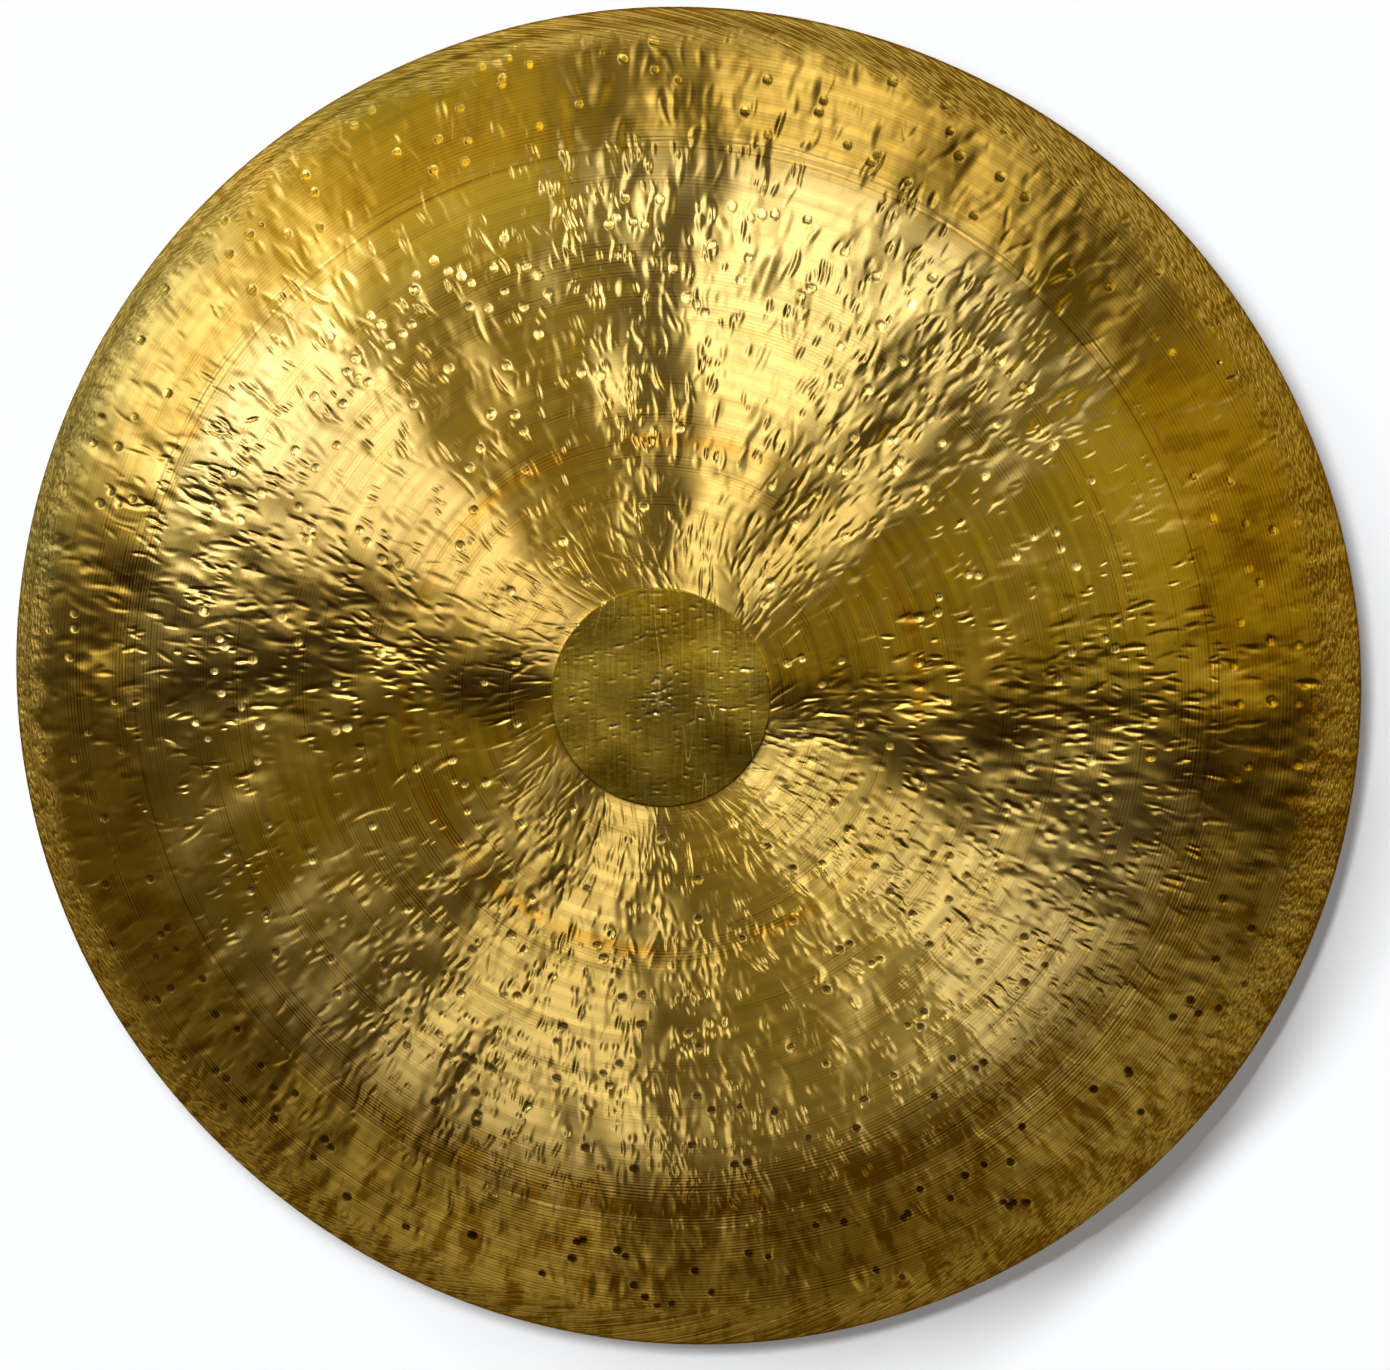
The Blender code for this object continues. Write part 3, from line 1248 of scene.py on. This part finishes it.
@dataclass(frozen=True)
class Softbox:
    """One large lamp, placed by the direction in which the plate sees it."""

    name: str
    towards: Span
    distance: float
    width: float
    height: float
    radiance: float
    colour: Colour = (1.0, 1.0, 1.0)
    upright: tuple[float, float, float] = (0.0, 1.0, 0.0)

    def build(self) -> bpy.types.Object:
        """Hang the lamp over the plate.

        Returns:
            The lamp.
        """
        x, y = self.towards
        way = Vector((x, y, (1 - x * x - y * y) ** 0.5))
        data = bpy.data.lights.new(self.name, "AREA")
        data.shape = "RECTANGLE"
        data.size, data.size_y = self.width, self.height
        data.energy = self.radiance * pi * self.width * self.height
        data.color = self.colour
        lamp = link(self.name, data)
        across = Vector(self.upright).cross(way).normalized()
        turn = Matrix((across, way.cross(across), way)).transposed().to_4x4()
        lamp.matrix_world = Matrix.Translation(way * self.distance) @ turn
        return lamp


@dataclass
class Studio:
    """The pale floor, the lamps, the dim room and the camera."""

    form: PlateForm
    camera_tilt: float = radians(11.25)
    camera_bearing: float = radians(54.0)
    camera_distance: float = 2.0
    lens: float = 87.6
    image_width: int = 1390
    image_height: int = 1370
    sensor_width: float = 36.0
    seen_middle: Span = (673.5, 696.1)
    floor_size: float = 24.0
    floor_white: float = 0.93
    floor_lamps: tuple[Softbox, ...] = (
        Softbox("low_strip", (-0.7249, 0.6710), 121.7, 200.0, 2.60, 676.0, (0.975, 1.0, 1.03),
                upright=(0.0, 0.0, 1.0)),
        Softbox("floor_fill", (0.0, 0.0), 6.0, 4.0, 4.0, 1.70),
    )
    softboxes: tuple[Softbox, ...] = (
        Softbox("left_softbox", (-0.412, 0.055), 5.0, 0.46, 0.60, 22.0, (0.92, 1.02, 3.00)),
        Softbox("left_glow", (-0.412, 0.055), 5.2, 1.00, 1.20, 3.8, (1.0, 0.93, 0.30)),
        Softbox("top_softbox", (-0.028, 0.130), 5.0, 0.42, 1.20, 9.8, (0.97, 1.0, 2.45)),
        Softbox("top_glow", (-0.024, 0.130), 5.2, 0.96, 1.50, 2.3, (1.0, 0.93, 0.30)),
        Softbox("right_softbox", (0.400, 0.025), 5.0, 0.60, 1.66, 3.0, (1.0, 0.84, 0.10)),
        Softbox("far_softbox", (-0.480, 0.470), 5.0, 2.80, 0.56, 3.8, (1.0, 0.84, 0.10)),
    )

    def camera(self) -> bpy.types.Object:
        """Set the camera at the photograph's angle.

        Returns:
            The camera.
        """
        data = bpy.data.cameras.new("camera")
        data.lens = self.lens
        data.sensor_width = self.sensor_width
        back = Vector((
            sin(self.camera_tilt) * cos(self.camera_bearing),
            sin(self.camera_tilt) * sin(self.camera_bearing),
            cos(self.camera_tilt),
        ))
        up = (Vector((0, 1, 0)) - back * back.y).normalized()
        right = up.cross(back)
        pixel = self.camera_distance * self.sensor_width / self.lens / self.image_width
        aim = (
            right * ((self.image_width / 2 - self.seen_middle[0]) * pixel)
            + up * ((self.seen_middle[1] - self.image_height / 2) * pixel)
        )
        camera = link("camera", data)
        turn = Matrix((right, up, back)).transposed().to_4x4()
        camera.matrix_world = Matrix.Translation(aim + back * self.camera_distance) @ turn
        bpy.context.scene.camera = camera
        return camera

    def floor(self) -> bpy.types.Object:
        """Lay the plain pale floor.

        Returns:
            The floor.
        """
        half = self.floor_size / 2
        mesh = bpy.data.meshes.new("floor")
        corners = [(-half, -half, 0), (half, -half, 0), (half, half, 0), (-half, half, 0)]
        mesh.from_pydata(corners, [], [(0, 1, 2, 3)])
        floor = link("floor", mesh)
        material = bpy.data.materials.new("pale_floor")
        material.use_nodes = True
        graph = Graph(material.node_tree)
        white = (self.floor_white, self.floor_white, self.floor_white)
        shader = graph.node("ShaderNodeBsdfDiffuse", {}, {"Color": white})
        graph.node("ShaderNodeOutputMaterial", {}, {"Surface": shader})
        mesh.materials.append(material)
        return floor

    def aim(self, softbox: Softbox, target: bpy.types.Object) -> None:
        """Hang a lamp that lights one thing alone.

        Args:
            softbox: The lamp.
            target: What it lights.
        """
        lamp = softbox.build()
        lit = bpy.data.collections.new(f"lit_by_{softbox.name}")
        lit.objects.link(target)
        lamp.light_linking.receiver_collection = lit
        lamp.visible_camera = False

    def room(self) -> None:
        """Surround the plate with a dim warm room that is pale along the horizon."""
        world = bpy.data.worlds.new("room")
        bpy.context.scene.world = world
        world.use_nodes = True
        graph = Graph(world.node_tree)
        way = graph.node("ShaderNodeTexCoord", output="Generated")
        up = graph.node("ShaderNodeSeparateXYZ", {}, {0: way}, "Z")
        dim = graph.node("ShaderNodeValToRGB", {"stops": [
            (0.0, (0.42, 0.32, 0.06)), (0.10, (0.30, 0.21, 0.03)),
            (0.24, (0.023, 0.011, 0.001)), (1.0, (0.014, 0.006, 0.001)),
        ]}, {0: up}, "Color")
        seen = graph.node("ShaderNodeLightPath", output="Is Camera Ray")
        colour = graph.mix(seen, dim, (1.0, 1.0, 1.0))
        shader = graph.node("ShaderNodeBackground", {}, {"Color": colour, "Strength": 1.0})
        graph.node("ShaderNodeOutputWorld", {}, {"Surface": shader})

    def build(self, plate: bpy.types.Object) -> None:
        """Set up the whole studio.

        Args:
            plate: The plate, which has its own lamps.
        """
        self.camera()
        floor = self.floor()
        for softbox in self.floor_lamps:
            self.aim(softbox, floor)
        for softbox in self.softboxes:
            self.aim(softbox, plate)
        self.room()
        bpy.context.scene.view_settings.view_transform = "Standard"


def dress(plate: bpy.types.Object, form: PlateForm) -> None:
    """Give the plate its two finishes, and set its grain round the lathe's axis.

    Args:
        plate: The plate's object.
        form: Its form.
    """
    for finish in (
        BronzeFinish("turned_bronze", Zone.TURNED),
        BronzeFinish(
            "forged_bronze", Zone.FORGED, roughness=0.26, smooth_roughness=0.26, anisotropic=0.0,
            pale=(0.58, 0.40, 0.028), oxide_and_shade=(0.27, 0.155, 0.004), wear_and_highlight=(0.96, 0.80, 0.30),
        ),
    ):
        plate.data.materials.append(finish.build(form))
    plate.data.use_auto_texspace = False
    plate.data.texspace_location = (form.lathe_x, form.lathe_y, 0.0)
    plate.data.texspace_size = (form.radius, form.radius, form.radius)


def main() -> None:
    """Build the plate and its studio, and tell the frame what the plate stands for."""
    logging.basicConfig(level=logging.INFO, format="%(name)s: %(message)s")
    low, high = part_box("gong_plate")
    form = PlateForm(radius=(high.x - low.x) / 2)
    plate = GongPlate(form).build()
    dress(plate, form)
    log.info("plate: %d points, %d faces", len(plate.data.vertices), len(plate.data.polygons))
    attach(plate, "root")
    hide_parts("gong_plate")
    Studio(form).build(plate)


if __name__ == "__main__":
    main()
